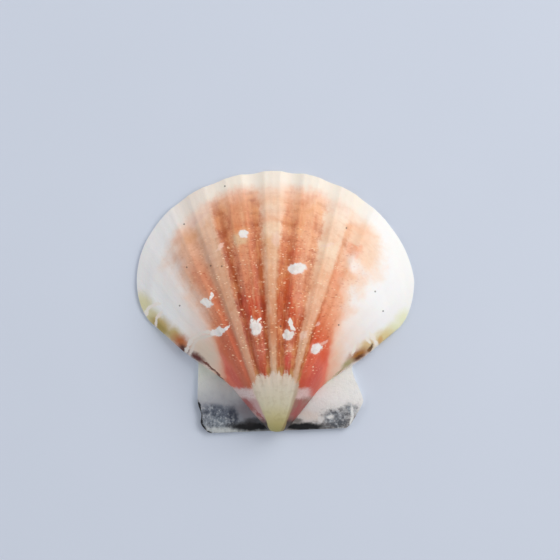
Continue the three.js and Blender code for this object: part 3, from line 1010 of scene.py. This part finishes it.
# Stains on the ears: points, width, softness, strength and colour
EAR_STAINS = [
    ([(-13.6, 3.9), (-9.6, 3.5)], 1.6, 0.5, 0.9, (98, 106, 120)),
    ([(-13.6, 1.8), (-10.0, 1.6)], 1.0, 0.6, 0.7, (118, 128, 138)),
    ([(-8.5, 4.0), (-8.4, 1.6)], 1.1, 0.6, 0.9, (52, 58, 74)),
    ([(-6.6, 4.8), (-5.2, 3.2)], 1.0, 0.7, 0.6, (148, 138, 142)),
    ([(9.6, 2.3), (13.8, 2.4)], 1.5, 0.6, 0.9, (104, 110, 118)),
    ([(14.2, 4.3), (15.8, 4.0)], 1.2, 0.6, 0.85, (110, 118, 126)),
    ([(10.6, 0.9), (14.6, 1.4)], 0.7, 0.6, 0.8, (66, 70, 78)),
]
# Black along the hinge line, light rims and blobs, with the columns of EAR_STAINS
EAR_EDGES = [
    ([(-13.6, 0.2), (-8.0, 0.0)], 0.42, 0.6, 0.55, (206, 210, 208)),
    ([(-8.2, 0.9), (-1.6, 0.7)], 0.85, 0.45, 1.0, (17, 17, 20)),
    ([(-6.0, 1.7), (-3.6, 1.9)], 0.7, 0.6, 0.8, (44, 40, 42)),
    ([(2.0, 0.8), (9.2, 0.8)], 0.75, 0.45, 1.0, (17, 17, 20)),
    ([(3.6, 2.1), (5.0, 2.0)], 0.5, 0.6, 0.7, (54, 46, 44)),
    ([(5.2, 3.6), (8.4, 2.6)], 0.8, 0.6, 0.8, (226, 214, 206)),
    ([(10.9, 3.0), (11.0, 2.6)], 0.75, 0.4, 0.9, (232, 232, 230)),
    ([(8.9, 2.7), (9.2, 1.9)], 0.5, 0.4, 0.7, (222, 220, 218)),
    ([(15.3, 4.8), (15.4, 2.9), (14.9, 1.4)], 0.3, 0.6, 1.0, (232, 232, 230)),
    ([(-15.6, 5.8), (-14.9, 3.3), (-14.8, 1.4), (-13.8, -0.2), (-13.0, -0.6)],
     0.32, 0.5, 1.0, (24, 24, 28)),
]
# The ears' colours by height above the hinge line, as shares of EAR_TOP. The left ear's are greyer than
# the right's all the way up: painted shade, over its own grey stains low down.
EAR_TOP = 12.0
LEFT_EAR_COLOURS = [
    (0.0, (176, 180, 182)), (0.14, (150, 154, 162)), (0.34, (150, 152, 160)),
    (0.46, (176, 178, 184)), (0.60, (196, 199, 201)), (0.80, (218, 220, 217)),
    (1.0, (222, 226, 216)),
]
RIGHT_EAR_COLOURS = [
    (0.0, (176, 172, 170)), (0.2, (218, 212, 208)), (0.4, (232, 230, 228)),
    (0.55, (243, 242, 240)), (1.0, (246, 247, 242)),
]


def ear_colours(s):
    """Grey-white ears, stained dark and mottled towards the hinge line. The left one is painted greyer,
    as shade.
    """
    is_right = s.rise(s.x, -1, 1)
    blotches = s.noise(s.spot, 0.55, 5, 0.7)
    scratches = s.noise(s.spot, 1.5, 4, 0.65)
    uneven = s.ragged(s.ragged(s.spot, 0.5, 2.6), 2.2, 0.9, 3)
    height = s.nudged(s.nudged(s.y, blotches, 2.0), s.grain, 0.4)
    up = s.math("DIVIDE", height, EAR_TOP)
    # Painted shade: the left ear's ramp is greyer than the right's
    left = s.ramp(up, LEFT_EAR_COLOURS)
    right = s.ramp(up, RIGHT_EAR_COLOURS)
    colour = s.mix(is_right, left, right)
    colour = s.shaded(colour, s.mottle, 0.2, (228, 228, 230))
    colour = s.painted(colour, uneven, EAR_STAINS)
    outwards = s.math("SUBTRACT", s.math("ABSOLUTE", s.x), s.y)
    stained = s.all_of(s.rise(height, 5.4, 4.4), s.rise(outwards, 4.0, 7.5))
    light = s.all_of(stained, s.rise(scratches, 0.5, 0.66), 0.55)
    colour = s.mix(light, colour, (206, 210, 214))
    dark = s.all_of(stained, s.rise(scratches, 0.50, 0.36), 0.65)
    colour = s.mix(dark, colour, (48, 53, 64))
    return s.painted(colour, s.ragged(s.spot, 1.2, 0.9), EAR_EDGES)


def outside_material():
    s = Painter("shell_outside")
    colour = rib_colours(s)
    colour = outer_colours(s, colour)
    # Painted shade over the left half
    colour = left_half_painted_shade(s, colour)
    tinted = s.all_of(s.rise(s.off, 4.0, 3.2), 0.2)
    colour = s.shaded(colour, s.lines, tinted, (230, 210, 196))
    colour = s.shaded(colour, s.mottle, tinted, (238, 214, 198))
    colour = front_edge(s, colour)
    colour = beside_the_umbo(s, colour)
    colour = umbo(s, colour)
    colour = flank_marks(s, colour)
    colour = flecks(s, colour)
    colour = chips_and_specks(s, colour)
    grown = s.rise(s.growth, 0.16, 0.4)
    fine = s.all_of(s.math("ADD", s.streaks, s.math("MULTIPLY", s.lines, 0.7)), grown)
    height = s.math("ADD", fine, s.math("MULTIPLY", s.grain, 0.6))
    return s.finish(colour, 0.45, height, 0.05 * MM, 0.15, 0.3)


def ear_material():
    s = Painter("shell_ears")
    height = s.math("ADD", s.mottle, s.math("MULTIPLY", s.grain, 0.6))
    return s.finish(ear_colours(s), 0.5, height, 0.08 * MM, 0.1, 0.3)


# By growth: the inside
INSIDE_COLOURS = [
    (0.0, (232, 222, 208)), (0.35, (246, 243, 238)), (0.70, (246, 238, 230)),
    (0.88, (244, 222, 206)), (0.95, (240, 208, 188)), (1.0, (248, 236, 224)),
]
# The muscle's scar: middle, half-sizes and tilt
SCAR = ((5.0, 27.0), (6.2, 5.4), 20)


def inside_material():
    """Smooth and white, rosy towards the front, with faint rays and the round scar of the muscle."""
    s = Painter("shell_inside")
    colour = s.ramp(s.growth, INSIDE_COLOURS)
    rays = s.rise(s.math("PINGPONG", s.ray, 1.0), 0.35, 0.75)
    rays = s.all_of(rays, s.rise(s.growth, 0.45, 0.9), 0.35)
    colour = s.mix(rays, colour, (240, 200, 178))
    from_scar = s.far(s.ragged(s.spot, 0.4, 1.0), *SCAR)
    scar = s.all_of(s.rise(from_scar, 1.05, 0.95), 0.25)
    colour = s.mix(scar, colour, (252, 251, 248))
    ring = s.all_of(s.between(from_scar, 0.93, 1.0, 0.05), 0.35)
    colour = s.mix(ring, colour, (214, 198, 184))
    colour = s.shaded(colour, s.clouds, 0.3, (238, 230, 224))
    height = s.math("ADD", s.clouds, s.math("MULTIPLY", s.lines, 0.2))
    return s.finish(colour, 0.22, height, 0.08 * MM, 0.15, 0.5)


def build_shell():
    """The shell's mesh, in the frame, with its values and its three materials."""
    co, quads, triangles, slots, carried = shell_mesh()
    low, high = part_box(NODE)
    middle = (np.array(low) + np.array(high)) / 2 / MM
    shift = middle - (co.min(0) + co.max(0)) / 2
    shift[2] = low.z / MM - co[:, 2].min()
    mesh = bpy.data.meshes.new("shell")
    mesh.from_pydata(((co + shift) * MM).tolist(), [], quads.tolist() + triangles.tolist())
    for name, values in carried.items():
        carrier = mesh.attributes.new(name, "FLOAT", "POINT")
        carrier.data.foreach_set("value", values.astype(np.float32))
    place = mesh.attributes.new("place", "FLOAT_VECTOR", "POINT")
    place.data.foreach_set("vector", co.astype(np.float32).ravel())
    mesh.polygons.foreach_set("use_smooth", [True] * len(mesh.polygons))
    mesh.set_sharp_from_angle(angle=SHARP_ANGLE)
    mesh.materials.append(outside_material())
    mesh.materials.append(inside_material())
    mesh.materials.append(ear_material())
    on_ear = [abs(carried["ear"][faces]).max(1) > 0 for faces in (quads, triangles)]
    slots = np.where(np.concatenate(on_ear) & (slots == OUTSIDE_SLOT), EAR_SLOT, slots)
    mesh.polygons.foreach_set("material_index", slots)
    return mesh


shell = bpy.data.objects.new("shell", build_shell())
bpy.context.scene.collection.objects.link(shell)
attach(shell, "root")
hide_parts(NODE)


def floor_material():
    s = Shader("floor")
    place = s.node("ShaderNodeTexCoord").outputs["Object"]
    colour = s.mix(s.noise(place, 30, 2), (213, 220, 234), (216, 223, 237))
    shader = s.node("ShaderNodeBsdfPrincipled", {"Base Color": colour, "Roughness": 0.5, "IOR": 1.3})
    s.node("ShaderNodeOutputMaterial", {"Surface": shader.outputs[0]})
    return s.material


FLOOR_HALF = 1.5
FLOOR_GAP = 0.02 * MM
low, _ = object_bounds()
floor_mesh = bpy.data.meshes.new("floor")
corners = [(-1, -1), (1, -1), (1, 1), (-1, 1)]
floor_z = low.z - FLOOR_GAP
floor_points = [(FLOOR_HALF * a, FLOOR_HALF * b, floor_z) for a, b in corners]
floor_mesh.from_pydata(floor_points, [], [(0, 1, 2, 3)])
floor_mesh.materials.append(floor_material())
floor = bpy.data.objects.new("floor", floor_mesh)
bpy.context.scene.collection.objects.link(floor)

# The camera looks straight down. AIM is the middle of its view
SENSOR_WIDTH = 36
VIEW_END = 10
FRAME_WIDTH = 112 * MM
CAMERA_HEIGHT = 0.6
AIM = (0.9 * MM, 4.4 * MM)
camera_data = bpy.data.cameras.new("camera")
camera_data.sensor_width = SENSOR_WIDTH
camera_data.lens = SENSOR_WIDTH * CAMERA_HEIGHT / FRAME_WIDTH
camera_data.clip_end = VIEW_END
camera = bpy.data.objects.new("camera", camera_data)
camera.location = (*AIM, CAMERA_HEIGHT)
bpy.context.scene.collection.objects.link(camera)
bpy.context.scene.camera = camera

# Soft lamps aimed at the shell: name, place, power and colour
LAMP_SIZE = 0.6
LAMPS = [
    ("key", (0.5, 0.5, 0.5), 3.8, (1.0, 0.985, 0.96)),
    ("right", (0.7, 0.0, 0.5), 1.7, (1.0, 0.985, 0.96)),
    ("left", (-0.7, 0.1, 0.5), 1.6, (0.96, 0.98, 1.0)),
]
SKY_COLOUR = (0.93, 0.96, 1.0, 1)
SKY_STRENGTH = 0.4


def area_light(name, place, power, colour):
    data = bpy.data.lights.new(name, "AREA")
    data.size = LAMP_SIZE
    data.energy = power
    data.color = colour
    light = bpy.data.objects.new(name, data)
    light.location = place
    light.rotation_euler = (Vector((0, 0, 0)) - Vector(place)).to_track_quat("-Z", "Y").to_euler()
    bpy.context.scene.collection.objects.link(light)


for lamp in LAMPS:
    area_light(*lamp)

world = bpy.data.worlds.new("sky")
bpy.context.scene.world = world
world.use_nodes = True
background = world.node_tree.nodes["Background"]
background.inputs["Color"].default_value = SKY_COLOUR
background.inputs["Strength"].default_value = SKY_STRENGTH
bpy.context.scene.view_settings.view_transform = "Standard"
